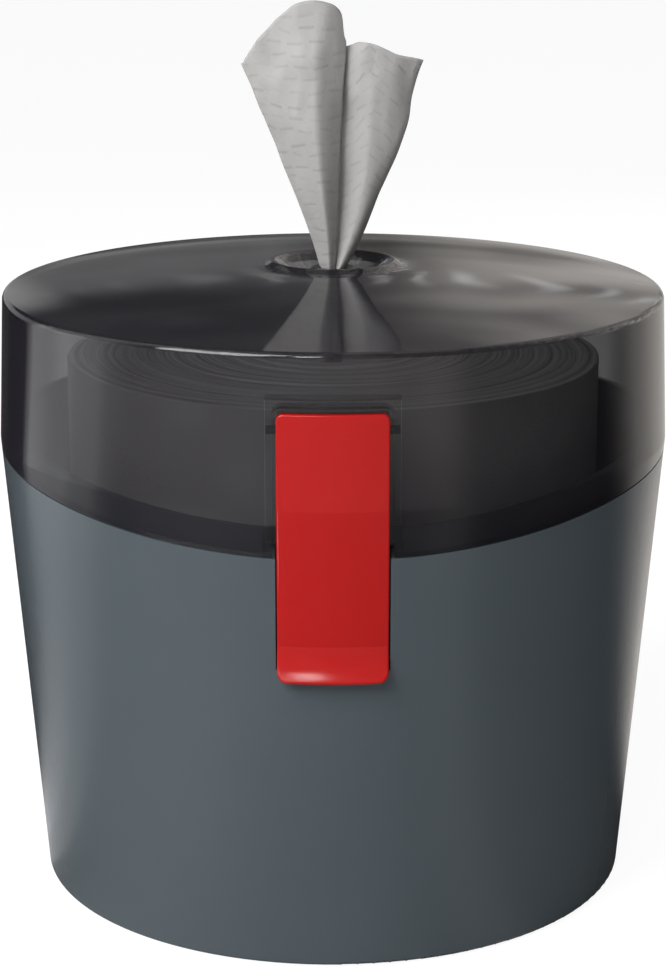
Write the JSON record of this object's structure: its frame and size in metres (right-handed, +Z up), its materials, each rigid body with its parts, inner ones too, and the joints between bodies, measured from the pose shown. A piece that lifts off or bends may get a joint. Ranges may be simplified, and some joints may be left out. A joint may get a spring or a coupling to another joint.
{
  "type": "roll wipe dispenser",
  "caption": "Round counter-top bucket for a centre-pull roll of wipes, with a hinged see-through lid, a lever latch and a nozzle that the wipe is drawn through.",
  "frame": {"origin": "on the bucket's axis, at the underside of the non-slip pad, which is the surface it stands on", "axes": "+Z up along the bucket's axis, -Y towards the front where the latch is, +X to the right seen from the front"},
  "size_m": [0.2238, 0.2336, 0.295],
  "materials": {
    "slate_plastic": "gloss",
    "smoked_plastic": "gloss",
    "red_plastic": "gloss",
    "black_plastic": "satin",
    "black_rubber": "matte",
    "wipe_cloth": "matte",
    "pin_steel": "satin",
    "screw_steel": "satin"
  },
  "bodies": {
    "bucket": {"bucket_shell": "slate_plastic", "non_slip_pad": "black_rubber", "roll_seat": "slate_plastic", "wipe_roll": "wipe_cloth", "wipe_strand": "wipe_cloth", "latch_catch": "slate_plastic", "catch_screws": "screw_steel", "hinge_bracket": "slate_plastic", "bracket_screws": "screw_steel", "hinge_pin": "pin_steel", "hinge_pin_caps": "slate_plastic"},
    "lid": {"lid_cover": "smoked_plastic", "lid_hinge_leaf": "slate_plastic", "leaf_screws": "screw_steel", "latch_pin": "smoked_plastic", "nozzle_body": "black_plastic", "nozzle_gasket": "black_rubber", "nozzle_nut": "black_plastic", "nozzle_diaphragm": "black_rubber"},
    "latch": {"latch_lever": "red_plastic"},
    "wipe": {"wipe_tail": "wipe_cloth"}
  },
  "joints": [
    {"name": "lid_hinge", "type": "hinge", "parent": "bucket", "child": "lid", "pos_m": [0, 0.1175, 0.15], "axis": [-1, 0, 0], "range_deg": [0, 105]},
    {"name": "latch_pivot", "type": "hinge", "parent": "lid", "child": "latch", "pos_m": [0, -0.10585, 0.177], "axis": [-1, 0, 0], "range_deg": [0, 55]},
    {"name": "wipe_pull", "type": "slide", "parent": "lid", "child": "wipe", "axis": [0, 0, 1], "range_m": [0, 0.04]}
  ]
}
